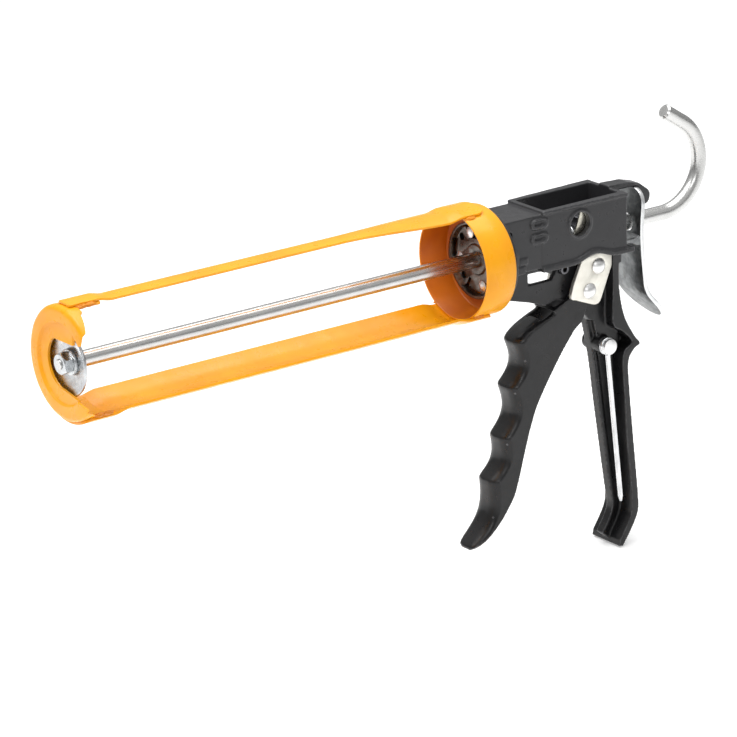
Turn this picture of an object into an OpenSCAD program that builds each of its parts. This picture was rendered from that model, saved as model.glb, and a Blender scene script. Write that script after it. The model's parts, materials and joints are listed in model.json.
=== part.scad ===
// Skeleton caulking gun for 310 ml cartridges.
// Millimetres, +Z up. The rod lies along X, the nozzle end points to -X and the hook to +X.
// The origin is on the rod axis at the front face of the plate that the cartridge sits against.

/* [Cartridge cage] */
// Inside diameter of the cage, for a 50 mm cartridge with room to drop in
bay_d = 52.4; // [44:0.2:64]
// Free length between the seat plate and the front cap
bay_len = 235.5; // [180:0.5:300]
// Thickness of the cage sheet
sheet = 1.3; // [0.8:0.1:2]
// Reach of the rear ring ahead of the seat plate
ring_reach = 14.5; // [8:0.5:30]
// Width of the top rail between its ends
top_rail_w = 10; // [6:0.5:20]
// Width of the top rail where it is welded to the ring
top_rail_end_w = 21; // [12:0.5:24]
// Width of the bottom rail, measured across
bottom_rail_w = 31.5; // [16:0.5:40]
// Length of rail welded over the ring
ring_weld = 12.8; // [6:0.2:13]
// Length of the cap's legs under the rails
cap_leg = 17; // [10:0.5:30]
// Depth of the cap's skirt
cap_skirt = 7; // [4:0.2:12]
// Radius of the nozzle hole in the cap
nozzle_r = 12.8; // [9:0.2:16]

/* [Plunger] */
// Diameter of the rod
rod_d = 7.8; // [5:0.1:9]
// Radius of the rod's hook at the centre line
hook_r = 24.4; // [18:0.2:34]
// Angle that the hook turns through
hook_turn = 147; // [90:1:180]
// Straight tip after the hook
hook_tip = 14; // [4:1:24]
// Straight rod behind the seat plate, to the start of the hook
rod_tail = 117; // [112:1:160]
// Diameter of the piston disc
piston_d = 32.4; // [28:0.2:42]
// Thickness of the piston's sheet
piston_t = 1.5; // [1:0.1:2.5]
// Hexagon nut, across flats
nut_af = 9.6; // [8:0.2:14]
// Height of the nut
nut_h = 4.6; // [3:0.2:7]

/* [Body casting] */
// Length of the open box that holds the drive
box_len = 52.2; // [50:0.2:60]
// Outside width of the box at its front
box_w_front = 26.4; // [25:0.2:32]
// Outside width of the box at its rear
box_w_rear = 29.6; // [26:0.2:36]
// Top of the box above the rod axis
box_top = 21; // [18:0.5:28]
// Width inside the box
box_in_w = 22; // [21.4:0.2:24]
// Radius of the flange behind the ring
flange_r = 25; // [23:0.5:30]
// Thickness of the web below the box
web_t = 10; // [8:0.2:10]
// Thickness of the handle's web
handle_web_t = 3.6; // [2.5:0.1:6]
// Width of the handle's rear flange
handle_flange_w = 22; // [16:0.5:28]
// Radius of the nozzle cutter's hole in the side
cutter_r = 6; // [4:0.2:7]

/* [Trigger] */
// Width of the trigger
trigger_w = 16; // [15.4:0.2:18]
// Thickness of the trigger's front wall
trigger_wall = 3.5; // [2.5:0.1:5]
// Thickness of the zinc side plates
side_plate_t = 2.3; // [1.5:0.1:2.4]
// Diameter of the pivot rivet's shank
pivot_d = 6; // [4:0.2:7]
// Diameter of the rivet heads
rivet_head_d = 8.2; // [7:0.2:10]

/* [Release lever] */
// Width of the release lever
lever_w = 22; // [18:0.5:26]
// Thickness of the release lever
lever_t = 2.2; // [1.6:0.1:3]
// Length of its bent thumb tab
lever_tab = 25; // [15:1:32]

/* [Travel] */
// How far the trigger turns, in degrees
trigger_travel = 25; // [10:1:26]
// How far the release lever turns, in degrees
lever_travel = 5; // [2:0.5:6]

/* [Fits] */
// Radial clearance of a shaft that turns or slides
run_gap = 0.08; // [0.05:0.01:0.1]
// Side clearance between parts that swing past each other
side_gap = 0.15; // [0.1:0.05:0.3]
// Gap under a rail where it lies on the cap and the ring
weld_gap = 0.12; // [0.08:0.01:0.2]

/* [Hidden] */
$fn = 64;
eps = 0.01;

yellow = "orange";
black = "#26282b";
zinc = "#c9cbc8";
steel = "#9a9da0";

// Cage, from the bore outwards
bay_r = bay_d / 2;
cage_r = bay_r + sheet;
rail_in = cage_r + weld_gap;
rail_r = rail_in + sheet;
seat_t = 2;
seat_r = 19.2;
seat_rise = 2.5;
flange_bore_r = 16.6;
ring_back = seat_t + 0.1 + sheet;
body_front = ring_back + 0.1;
cap_in = -bay_len;
cap_out = cap_in - sheet;
cap_step = 1.2;
cap_front = cap_out - cap_step;
joggle_len = 6;

// Plunger
rod_r = rod_d / 2;
tip_r = rod_r * 0.64;
piston_r = piston_d / 2;
piston_front = cap_in + 0.3;
piston_dish = 2.6;
piston_floor = piston_front + piston_dish;
washer_t = 1.4;
nut_front = piston_floor - washer_t - nut_h;
collar_len = 4;
collar_r = rod_r + 2.6;

// Body stations along X
neck_end = 30.3;
box_wall = 2.7;
box_x0 = neck_end;
box_x1 = box_x0 + box_len;
box_floor = -7.6;
box_sill = -10;
lip = 1;
neck_top = 19.6;
neck_w = 26;

// Trigger pivot, link rivet and drive pin, as [x, z]
pivot = [67.6, -15];
link = [61.8, -26.7];
link_r = norm(link - pivot);
link_a = atan2(link[1] - pivot[1], link[0] - pivot[0]);
drive_pin_r = 2;
drive_pin_at = [pivot[0] - 3.1, pivot[1] + 7.8];
plate_rear = drive_pin_at[0] - drive_pin_r - 0.05;
plate_t = 2.4;
plate_count = 2;
plate_front = plate_rear - plate_t * plate_count - 0.1 * (plate_count - 1);
drive_travel = norm(drive_pin_at - pivot) * sin(trigger_travel);
cheek_in = web_t / 2 + 0.2;
plate_in = trigger_w / 2 + side_gap;
plate_out = plate_in + side_plate_t;
stop_at = [49, -13.7];

// Release lever hinge and tab
lever_hinge = [box_x1 + 14.2, 16.5];
lever_top = lever_hinge[1] + 2;
lever_knee = [box_x1 + 14.9, -33.7];
lever_bend = 41.5;
lever_lean = 1.6;

// Puncture wire
wire_d = 2.6;
wire_pivot = [73.2, -58];
wire_y = -(trigger_w / 2 + 0.35 + wire_d / 2);
wire_len = 85;
boss_far = web_t / 2 + 0.3;

// ---------- helpers ----------

// Turns a shape made round Z so that it lies round X
module along_x() rotate([0, 90, 0]) children();

// A flat outline in X and Z, made solid from y0 to y1
module slab(y0, y1) translate([0, y1, 0]) rotate([90, 0, 0]) linear_extrude(y1 - y0) children();

// A round bar across the body, from y0 to y1
module cross_pin(at, r, y0, y1)
    translate([at[0], y1, at[1]]) rotate([90, 0, 0]) cylinder(r = r, h = y1 - y0);

// Points of an arc in the plane
function arc(c, r, a0, a1, n = 10) =
    [for (i = [0:n]) let (a = a0 + (a1 - a0) * i / n) [c[0] + r * cos(a), c[1] + r * sin(a)]];

// Outline of a bar with round ends
function oval(x0, x1, z, r) = concat(arc([x1, z], r, -90, 90, 8), arc([x0, z], r, 90, 270, 8));

// One point of the smooth curve between b and c, with neighbours a and d
function blend_point(a, b, c, d, t) =
    0.5 * (2 * b + (c - a) * t + (2 * a - 5 * b + 4 * c - d) * t * t
    + (3 * b - a - 3 * c + d) * t * t * t);

// A smooth curve through the given points
function curve(p, n = 5) = let (m = len(p) - 1) [
    for (i = [0:m - 1]) for (k = [0:n - 1])
        blend_point(p[max(i - 1, 0)], p[i], p[i + 1], p[min(i + 2, m)], k / n),
    p[m]
];

// The same line moved sideways by t, to the right of its way down
function beside(c, t) = [for (i = [0:len(c) - 1]) let (
    d = c[min(i + 1, len(c) - 1)] - c[max(i - 1, 0)]) c[i] + [-d[1], d[0]] * t / norm(d)];

// A hollow between two crests, like a finger groove
function groove(a, b, depth, n = 8) = let (
    d = b - a, l = norm(d), u = d / l, v = [-u[1], u[0]])
    [for (i = [1:n - 1]) let (t = i / n) a + d * t + v * depth * sin(180 * t)];

// Rows of points round a helix along X, with closed flat ends
module helix(r, wire_r, x0, x1, turns, sides = 8, per_turn = 22) {
    steps = floor(turns * per_turn);
    pts = [for (i = [0:steps]) for (k = [0:sides - 1])
        let (a = 360 * turns * i / steps, b = 360 * k / sides, q = r + wire_r * cos(b))
        [x0 + (x1 - x0) * i / steps + wire_r * sin(b), q * sin(a), q * cos(a)]];
    rings = [for (i = [0:steps - 1]) for (k = [0:sides - 1])
        let (a = i * sides + k, b = i * sides + (k + 1) % sides)
        [a, b, b + sides, a + sides]];
    first = [for (k = [sides - 1:-1:0]) k];
    last = [for (k = [0:sides - 1]) steps * sides + k];
    polyhedron(pts, concat(rings, [first, last]));
}

// ---------- cartridge cage ----------

// Part of a tube round X: half is half its angle, at is 0 below and 180 above
module tube_sector(at, half, outline)
    along_x() rotate([0, 0, at - half]) rotate_extrude(angle = 2 * half, $fn = 96)
        polygon(outline);

// Rail section along X: outside the cap and the ring, one sheet lower between them
rail_front = cap_front + 3;
rail_rear = -ring_reach + ring_weld;
rail_steps = [
    [rail_front, 0], [cap_in + cap_leg - sheet, 0], [cap_in + cap_leg - sheet + joggle_len, 1],
    [-ring_reach - joggle_len - 1, 1], [-ring_reach - 1, 0], [rail_rear, 0]];
rail_outline = concat(
    [for (s = rail_steps) [rail_in - sheet * s[1], s[0]]],
    [for (i = [len(rail_steps) - 1:-1:0]) [rail_r - sheet * rail_steps[i][1], rail_steps[i][0]]]);

// Half width of the top rail at x, widening towards the ring
flare_from = -ring_reach - 70;
flare_to = -ring_reach - 4;
function flare(x) = let (t = max(0, min(1, (x - flare_from) / (flare_to - flare_from))))
    top_rail_w / 2 + (top_rail_end_w - top_rail_w) / 2 * (0.5 - 0.5 * cos(180 * t));

module top_rail() {
    corner = 4;
    stations = [for (i = [0:14]) flare_from + (rail_rear - corner - flare_from) * i / 14];
    near = concat(
        [[rail_front - 1, -top_rail_w / 2]],
        [for (x = stations) [x, -flare(x)]],
        arc([rail_rear - corner, -flare(rail_rear) + corner], corner, -90, 0, 6));
    far = [for (i = [len(near) - 1:-1:0]) [near[i][0], -near[i][1]]];
    color(yellow) intersection() {
        tube_sector(180, 24, rail_outline);
        translate([0, 0, cage_r - 12]) linear_extrude(20) polygon(concat(near, far));
    }
}

bottom_half = asin(bottom_rail_w / 2 / rail_r);
module bottom_rail() {
    corner = 5;
    w = bottom_rail_w / 2;
    near = concat(
        arc([rail_front + corner, -w + corner], corner, 180, 270, 6),
        arc([rail_rear - corner, -w + corner], corner, -90, 0, 6));
    far = [for (i = [len(near) - 1:-1:0]) [near[i][0], -near[i][1]]];
    color(yellow) intersection() {
        tube_sector(0, min(bottom_half + 6, 60), rail_outline);
        translate([0, 0, -rail_r - 1]) linear_extrude(rail_r) polygon(concat(near, far));
    }
}

module rear_ring() {
    color(yellow) along_x() rotate_extrude($fn = 128) polygon([
        [bay_r, -ring_reach], [cage_r, -ring_reach], [cage_r, ring_back - 1],
        [cage_r - 1, ring_back], [flange_bore_r, ring_back], [flange_bore_r, ring_back - sheet],
        [bay_r, ring_back - sheet]]);
}

// The front plate's slot, wide enough for the nozzle, seen along X as [y, z]
module nozzle_slot(x0, x1) {
    top = nozzle_r - 2.2;
    translate([x0, 0, 0]) rotate([90, 0, 90]) linear_extrude(x1 - x0) polygon(concat(
        [[-cage_r - 4, top + 17], [-cage_r + 6.5, top + 12], [-nozzle_r - 4.4, top + 2.1],
            [-9, top + 0.2], [nozzle_r * cos(56), top]],
        arc([0, 0], nozzle_r, 50, -88, 14),
        [[-10, -nozzle_r - 1.8], [-cage_r - 4, -nozzle_r - 5.2]]));
}

module front_cap() {
    bend = 3;
    step_r = nozzle_r + 7.2;
    leg_end = cap_in + cap_leg;
    skirt_end = cap_front + cap_skirt;
    top_half = asin(top_rail_w / 2 / cage_r) + 1;
    low_half = bottom_half - 3;
    color(yellow) difference() {
        along_x() rotate_extrude($fn = 128) polygon(concat(
            [[nozzle_r - 4, cap_in], [nozzle_r - 4, cap_out], [step_r - 1, cap_out],
                [step_r, cap_front]],
            arc([cage_r - bend, cap_front + bend], bend, -90, 0, 6),
            [[cage_r, leg_end], [bay_r, leg_end]],
            arc([cage_r - bend, cap_front + bend], bend - sheet, 0, -90, 5),
            [[step_r + 0.6, cap_front + sheet], [step_r - 0.2, cap_in]]));
        nozzle_slot(cap_front - 1, skirt_end + 0.5);
        // The skirt's ends lean back from the slot
        slab(-cage_r - 1, -9.4) polygon([[cap_front + 0.8, 8], [cap_front + 0.8, cage_r - 10],
            [cap_front + 2.1, cage_r - 8.4], [cap_front + 5.3, cage_r - 2.3],
            [skirt_end + 0.5, cage_r - 1], [skirt_end + 0.5, 8]]);
        slab(-cage_r - 1, -12) polygon([[cap_front + 1, -8], [cap_front + 1, -18.5],
            [skirt_end + 0.5, -22], [skirt_end + 0.5, -8]]);
        // The skirt is long only at the legs under the two rails
        for (gap = [[low_half, 180 - top_half], [180 + top_half, 360 - low_half]])
            along_x() rotate([0, 0, gap[0]]) rotate_extrude(angle = gap[1] - gap[0])
                translate([bay_r - 1, skirt_end]) square([sheet + 2, leg_end - skirt_end + 1]);
    }
}

// ---------- seat ----------

rivet_pcd = 27;
rivet_shank = 1.6;
rivet_angles = [-8, 68, 188, 252];

// A slot through the seat, curved round the rod: from r0 to r1, and from a0 to a1
module seat_slot(r0, r1, a0, a1)
    translate([-seat_rise - 1, 0, 0]) rotate([90, 0, 90]) linear_extrude(seat_t + seat_rise + 2)
        polygon(concat(arc([0, 0], r1, a0, a1, 8), arc([0, 0], r0, a1, a0, 8)));

module seat_plate() {
    hub = 8;
    rim = 1.3;
    color(steel) difference() {
        along_x() rotate_extrude($fn = 128) polygon([
            [rod_r + run_gap, -0.9], [hub - 0.8, -0.9], [hub, 0], [seat_r - rim - 0.9, 0],
            [seat_r - rim, -seat_rise], [seat_r, -seat_rise], [seat_r, seat_t],
            [rod_r + run_gap, seat_t]]);
        for (a = rivet_angles) rotate([a, 0, 0]) translate([-eps, rivet_pcd / 2, 0]) along_x()
            cylinder(r = rivet_shank + run_gap, h = seat_t + 1);
        for (a = [9, 189, 277]) seat_slot(seat_r - rim - 1.7, seat_r - rim - 0.1, a - 17, a + 17);
        for (a = [81]) seat_slot(10.4, seat_r - rim - 0.1, a - 21, a + 21);
        for (a = [-63, 117]) seat_slot(11.6, seat_r - rim - 0.1, a - 4, a + 4);
        for (a = [39, -44, -120, 150]) rotate([a, 0, 0]) translate([-seat_rise, 14.6, 0])
            along_x() cylinder(r = 1.9, h = seat_t + seat_rise + 1);
    }
}

module seat_rivets() {
    head_h = 0.8;
    head_r = 2.9;
    ball = (head_r * head_r + head_h * head_h) / (2 * head_h);
    color(zinc) for (a = rivet_angles) rotate([a, 0, 0]) translate([0, rivet_pcd / 2, 0])
        along_x() rotate_extrude($fn = 32) polygon(concat(
            arc([0, ball - head_h], ball, -90, -90 + asin(head_r / ball), 6),
            [[rivet_shank, 0], [rivet_shank, 5], [0, 5]]));
}

// ---------- body ----------

web_half = web_t / 2;

// Lower edge of the box side, arched over the side plates
function sill(x) = let (t = max(0, min(1, (x - pivot[0] + 19.1) / 27.5)))
    box_sill + 3.3 * (0.5 - 0.5 * cos(360 * t));

// Half the outside width of the box at x
function box_half(x) = (box_w_front + (box_w_rear - box_w_front) * (x - box_x0) / box_len) / 2;

module box_plan(grow, x0 = box_x0, x1 = box_x1)
    polygon([[x0, -box_half(x0) - grow], [x1, -box_half(x1) - grow],
        [x1, box_half(x1) + grow], [x0, box_half(x0) + grow]]);

// Side view of a band that follows the sill, from low to high above it
module sill_band(low, high) {
    n = 24;
    xs = [for (i = [0:n]) box_x0 + box_len * i / n];
    polygon(concat([for (x = xs) [x, sill(x) + low]],
        [for (i = [n:-1:0]) [xs[i], high == undef ? box_top : sill(xs[i]) + high]]));
}

module box_shell() {
    difference() {
        union() {
            intersection() {
                translate([0, 0, box_sill - 1]) linear_extrude(box_top - box_sill + 1)
                    box_plan(0);
                slab(-20, 20) sill_band(0);
            }
            intersection() {
                translate([0, 0, box_sill - 1]) linear_extrude(10) box_plan(lip);
                slab(-20, 20) sill_band(0, 2.6);
            }
            translate([0, 0, box_top - 1.7]) linear_extrude(1.7) box_plan(lip);
        }
        translate([box_x0 + box_wall, -box_in_w / 2, box_floor])
            cube([box_len - 2 * box_wall, box_in_w, box_top - box_floor + 1]);
        translate([pivot[0] - 17, -box_in_w / 2, box_sill - 2])
            cube([box_x1 - box_wall - pivot[0] + 17, box_in_w, 6]);
    }
}

// Slot in the web that the link rivet swings through with the trigger
module link_slot() {
    reach = pivot_d / 2 + 0.6;
    ends = asin(reach / link_r) + 2;
    translate(pivot) polygon(concat(
        arc([0, 0], link_r + reach, link_a - ends, link_a + trigger_travel + ends, 12),
        arc([0, 0], link_r - reach, link_a + trigger_travel + ends, link_a - ends, 12)));
}

// Web below the box, down to the trigger and the handle
module web_outline() {
    difference() {
        union() {
            polygon([[body_front + 4, -9], [body_front + 4, -21.6], [14.9, -23.2], [28.5, -27.1],
                [37.9, -30.7], [44.8, -29.1], [54, -31.6], [60, -36.4], [65.8, -44.2],
                [76.4, -46.8], [76.4, -29.1], [76.6, -20], [70, -19], [pivot[0] - 5, -17.5],
                [pivot[0] - 9.4, -15.5], [pivot[0] - 10.4, box_sill], [16, box_sill], [13, -4]]);
            translate(pivot) circle(r = 5.8);
        }
        polygon([[27.5, -12.4], [46.3, -12.9], [42.5, -18.2], [27.5, -18.2]]);
        link_slot();
    }
}

flange_in = [[76.6, -9], [76.4, -29.1], [76.3, -46.8], [82.7, -52.4], [88.4, -59],
    [83.2, -63.1], [82.5, -72.4], [83.6, -88.6], [84.7, -110.2], [86.5, -126.8],
    [87.7, -143.3], [86.3, -152.2], [79.6, -163]];
flange_out = [[80.5, -9], [80.3, -27.3], [83.4, -43.7], [89.8, -55.6], [93.6, -60.7],
    [89.7, -63], [86, -69], [86.6, -84], [88.2, -103], [90.5, -127.8], [91.7, -141.6],
    [91.6, -149.7], [88.2, -157], [81.5, -166.6]];
web_front = [[65.8, -44.2], [70, -64.6], [73.3, -89.2], [77.2, -116.8], [80.5, -139.2],
    [81.7, -146.5], [79.3, -153.5], [74.7, -160.5]];

function reversed(p) = [for (i = [len(p) - 1:-1:0]) p[i]];

module handle() {
    slab(-handle_flange_w / 2, handle_flange_w / 2)
        polygon(concat(curve(flange_out, 4), [[79, -166.2]], reversed(curve(flange_in, 4))));
    slab(-handle_web_t / 2, handle_web_t / 2)
        polygon(concat(curve(web_front, 4), [[80.5, -165]], reversed(curve(flange_in, 4))));
    // Thick part under the web, down past the puncture wire's rivet
    slab(-web_half, web_half) polygon([[68.4, -44.2], [70.2, -52], [71.8, -60.4],
        [wire_pivot[0] + 0.9, -63.6], [80, -61.5], [84.5, -60.8], [84.2, -54.6], [76.6, -46],
        [76.4, -43]]);
    // Rim along the front edge and the toe
    rim = 2.6;
    rim_half = handle_web_t / 2 + 0.6;
    slab(-rim_half, rim_half) polygon(concat(curve(web_front, 4),
        [[80.6, -165.4], [81.6, -162]],
        reversed([for (p = curve(web_front, 4)) [p[0] + rim, p[1] - 0.6]])));
    // Boss for the puncture wire's rivet
    cross_pin(wire_pivot, 4.4, wire_y + wire_d / 2 + 0.25, boss_far);
}

// Arm over the release lever's top, with a knob behind it that holds the lever
module rear_arm() {
    half = 4;
    under = lever_top + 0.4;
    knob_front = lever_hinge[0] + lever_t / 2 + 0.9;
    slab(-half, half) polygon(concat(
        [[box_x1 - box_wall, box_top - 2], [box_x1 - box_wall, box_top + 1.3],
            [box_x1 + 9.5, box_top + 0.8], [box_x1 + 17, under + 1]],
        arc([knob_front + 3.8, under - 6.2], 4, 58, 0, 5),
        arc([knob_front + 4, under - 7.2], 3.6, 0, -90, 5),
        arc([knob_front + 3.6, under - 7.2], 3.6, -90, -180, 5),
        [[knob_front, under], [box_x1, under], [box_x1, box_top - 5]]));
}

module neck() {
    along_x() rotate_extrude($fn = 128) polygon([[0, body_front], [flange_r - 1, body_front],
        [flange_r, body_front + 1], [flange_r, body_front + 2.6], [flange_r - 1, body_front + 3.4],
        [20, body_front + 4.2], [15.5, body_front + 6.5], [13.5, body_front + 12],
        [0, body_front + 12]]);
    along_x() cylinder(r = flange_bore_r - 0.1, h = body_front + 1);
    translate([12, -neck_w / 2, -8]) cube([box_x0 + box_wall - 12, neck_w, neck_top + 8]);
    translate([body_front + 3, -neck_w / 2, 14])
        cube([box_x0 - body_front - 3, neck_w, neck_top - 14]);
    // Bosses low on each side of the neck
    for (s = [-1, 1]) {
        translate([14.5, s * 11 - 2.6, -8.5]) cube([5, 5.2, 4]);
        translate([16.5, s * 11 - 2.6, -3.5]) cube([4.6, 5.2, 3]);
    }
    // Two raised oval frames on each side
    for (s = [-1, 1]) for (z = [15.2, 7.8]) slab(s * (neck_w / 2 + 0.25) - 0.85,
        s * (neck_w / 2 + 0.25) + 0.85) difference() {
            polygon(oval(25.4, 31.2, z, 2.5));
            polygon(oval(26.2, 30.6, z + 0.5, 1.2));
        }
}

module body_housing() {
    bar_half = 3.8;
    color(black) difference() {
        union() {
            neck();
            box_shell();
            slab(-web_half, web_half) web_outline();
            slab(-bar_half, bar_half)
                polygon([[20, -20.8], [42.6, -20.8], [44.6, -18.2], [20, -18.2]]);
            handle();
            rear_arm();
            // Ledge behind the box that the release lever's ears rest over
            translate([box_x1 - 1, -box_half(box_x1) - lip, box_sill])
                cube([5, box_w_rear + 2 * lip, 2.4]);
            for (s = [-1, 1]) translate([box_x1 - box_wall - 3, s * (box_in_w / 2 - 2) - 2,
                box_sill - 6]) cube([box_wall + 2.4, 4, 8]);
            // Raised ring round the nozzle cutter's hole
            translate([53.3, -box_half(53.3) + 1, 10.3]) rotate([90, 0, 0])
                cylinder(r = cutter_r + 1.4, h = 1.7);
        }
        // The seat fills the bore of the ring, so the body's spigot stops behind it
        translate([seat_t - 10, -30, -30]) cube([10, 60, 60]);
        along_x() cylinder(r = rod_r + run_gap, h = box_x1 + 5);
        translate([body_front + 5, 0, 0]) along_x() cylinder(r = 8, h = box_x0 - body_front - 7);
        for (a = rivet_angles) rotate([a, 0, 0]) translate([0, rivet_pcd / 2, 0]) along_x()
            cylinder(r = rivet_shank + run_gap, h = 5.2);
        translate([53.3, -box_in_w / 2 + 1, 10.3]) rotate([90, 0, 0])
            cylinder(r = cutter_r, h = 8);
        cross_pin(pivot, pivot_d / 2 + run_gap, -20, 20);
        cross_pin(stop_at, 2.5 + run_gap, -20, 20);
        cross_pin(wire_pivot, 2 + run_gap, -20, 20);
        // Recess on the far side, so that the wall round the web's window is thin
        slab(-2, 8) polygon([[31, -12.8], [45.8, -13.2], [45.8, -17.4], [49.5, -18], [48, -22.4],
            [31, -22.4]]);
        // Gap for the release lever's ears and spring
        translate([box_x1, -9.4, box_sill - 1]) cube([7, 18.8, 6]);
    }
}

module spout_cutter_blade() {
    color(zinc) difference() {
        slab(-box_in_w / 2, -box_in_w / 2 + 0.9)
            polygon([[44, 4.4], [61, 4.4], [61, 17], [44, 17]]);
        slab(-box_in_w, 0) polygon([[46.3, 4], [52, 4], [57.2, 17.6], [46.3, 17.6]]);
    }
}

// ---------- drive ----------

module drive_plates() {
    low = -9.4;
    color(steel) for (i = [0:plate_count - 1]) difference() {
        translate([plate_front + i * (plate_t + 0.1), -trigger_w / 2, low])
            cube([plate_t, trigger_w, 20.4]);
        along_x() cylinder(r = rod_r + run_gap, h = 100);
    }
}

module drive_pin() color(zinc)
    cross_pin(drive_pin_at, drive_pin_r, -trigger_w / 2, trigger_w / 2);

// The spring stops short of the plates by the plates' travel
module drive_spring() {
    wire_r = 0.7;
    color(steel) helix(6, wire_r, box_x0 + box_wall + wire_r + 0.05,
        plate_front - drive_travel - wire_r - 0.1, 6);
}

// ---------- trigger ----------

// Front outline on the centre line, from the top down to the tip
crests = [[18.9, -46.2], [14.4, -68.6], [9.2, -93.6], [2, -114.4], [-9, -144.2]];
groove_depths = [5.2, 5.3, 4.3, 5.1];
trigger_front = concat([[43, -34], [32.5, -37.8], [25, -41], [20.8, -43.8]],
    [for (i = [0:3]) each concat([crests[i]], groove(crests[i], crests[i + 1], groove_depths[i]))],
    [crests[4], [-11, -146], [-11.2, -147.6], [-9.4, -148.2]]);
trigger_rear = curve([[-6.8, -147], [5.2, -136.6], [11.6, -128.9], [16.2, -121], [22.2, -101.4],
    [26.2, -89.2], [31.5, -77.4], [44.5, -57.9], [54.2, -45.9]], 4);

// The same outline with its front set back
module trigger_outline(back = 0)
    polygon(concat([for (p = trigger_front) [p[0] + back, p[1]]], trigger_rear,
        [[59.3, -42.4], [62.2, -34.2], [50.9, -29.2]]));

// The front is narrower than the sides, in steps of [half width, set back]
trigger_steps = [[trigger_w / 2, 3.4], [trigger_w / 2 - 0.6, 2.1], [trigger_w / 2 - 1.4, 1.2],
    [trigger_w / 2 - 2.8, 0.5], [trigger_w / 2 - 4.6, 0]];

module cheek_outline() {
    polygon([[drive_pin_at[0] - 1.1, -9.2], [drive_pin_at[0] - 1.1, -5.4],
        [drive_pin_at[0] + 1.6, -4.6], [pivot[0] + 3.4, -8.6], [pivot[0] + 6.4, -13],
        [pivot[0] + 5.6, -20], [62.6, -34.2], [59.3, -42.4], [52.4, -45.4], [46.5, -41.5],
        [41, -33.5], [50.9, -29.2], [55.8, -20.4], [pivot[0] - 6.2, -12.4]]);
}

module trigger() {
    color(black) difference() {
        union() {
            for (step = trigger_steps) slab(-step[0], step[0]) trigger_outline(step[1]);
            slab(-trigger_w / 2, trigger_w / 2) cheek_outline();
        }
        // Channel, open at the rear
        slab(-cheek_in, cheek_in) intersection() {
            translate([trigger_wall, -trigger_wall * 0.3]) union() {
                trigger_outline();
                translate([8, 6]) trigger_outline();
                translate([16, 10]) trigger_outline();
            }
            polygon([[-40, -132], [120, -132], [120, 10], [-40, 10]]);
        }
        slab(-cheek_in, cheek_in)
            polygon([[44, -30], [49, -44], [66, -46], [90, -30], [90, 0], [58, 0], [50, -20]]);
        cross_pin(pivot, pivot_d / 2 + run_gap, -20, 20);
        cross_pin(link, pivot_d / 2 + run_gap, -20, 20);
        cross_pin(drive_pin_at, drive_pin_r, -20, 20);
        // Round end, seen along the trigger's travel
        translate([-30, 0, 0]) rotate([90, 0, 90]) linear_extrude(60) difference() {
            translate([-trigger_w, -154]) square([2 * trigger_w, 13.5]);
            translate([0, -140.5]) circle(r = trigger_w / 2 + 0.02);
        }
    }
}

module side_plate_outline() {
    at = [1.4, -0.8];
    translate(at) difference() {
        polygon(concat(curve([[55.7, -9.8], [60.1, -8.2], [66.5, -7.5], [72, -8.2],
            [74.7, -10.2]], 4), [[74.7, -15.4], [68.1, -30.6]],
            curve([[68.1, -30.6], [66.6, -33], [63.6, -33.7], [58, -31.6], [52.2, -29.2],
            [48.9, -27.4], [50.5, -20.6]], 4)));
    }
}

module side_plate(y0) {
    color(zinc) difference() {
        slab(y0, y0 + side_plate_t) side_plate_outline();
        cross_pin(pivot, pivot_d / 2 + run_gap, -20, 20);
        cross_pin(link, pivot_d / 2 + run_gap, -20, 20);
    }
}
module side_plate_left() side_plate(-plate_out);
module side_plate_right() side_plate(plate_in);

// Rivet across both plates, with a domed head at each end
module cross_rivet(at, r, y) {
    head_h = 2.3;
    head_r = rivet_head_d / 2;
    ball = (head_r * head_r + head_h * head_h) / (2 * head_h);
    color(zinc) {
        cross_pin(at, r, -y - eps, y + eps);
        for (s = [-1, 1]) translate([at[0], s * y, at[1]]) rotate([-90 * s, 0, 0])
            rotate_extrude($fn = 48) polygon(concat([[0, 0]],
                arc([0, head_h - ball], ball, asin((ball - head_h) / ball), 90, 8)));
    }
}
module pivot_rivet() cross_rivet(pivot, pivot_d / 2, plate_out + 0.1);
module link_rivet() cross_rivet(link, pivot_d / 2, plate_out);

module stop_pin() color(steel) difference() {
    cross_pin(stop_at, 2.5, -7.4, 7.4);
    cross_pin(stop_at, 1.3, -8, 8);
}

// ---------- release lever ----------

module release_lever() {
    top = lever_top;
    corner = 8;
    half = lever_w / 2;
    at_top = lever_hinge[0] - lever_t / 2;
    dx = lever_tab * sin(lever_bend);
    dz = lever_tab * cos(lever_bend);
    face = curve([[at_top, top], [at_top - lever_lean, -4], [at_top, lever_knee[1] + 7.7],
        [lever_knee[0] - 0.4, lever_knee[1]], [lever_knee[0] + 3.6, lever_knee[1] - 6.3],
        [lever_knee[0] + dx - lever_t / 2, lever_knee[1] - dz]], 6);
    color(zinc) difference() {
        union() {
            intersection() {
                slab(-half, half) polygon(concat(face, reversed(beside(face, lever_t))));
                translate([box_x1, 0, 0]) rotate([90, 0, 90]) linear_extrude(80) polygon(concat(
                    arc([half - corner, top - corner], corner, 0, 90, 6),
                    arc([-half + corner, top - corner], corner, 90, 180, 6),
                    arc([0, lever_knee[1] - dz + half], half, 180, 360, 20)));
            }
            for (s = [-1, 1]) slab(s * (half - 0.8) - 0.7, s * (half - 0.8) + 0.7)
                polygon([[box_x1 + 2.4, -5.6], [box_x1 + 8.6, -5.4], [at_top + 0.6, -4.6],
                    [at_top + 0.6, -10], [box_x1 + 9, -8.9], [box_x1 + 6, -7.2],
                    [box_x1 + 2.4, -6.7]]);
        }
        translate([box_x1, 0, 0]) along_x() cylinder(r = rod_r + 0.8, h = 40);
    }
}

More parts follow.
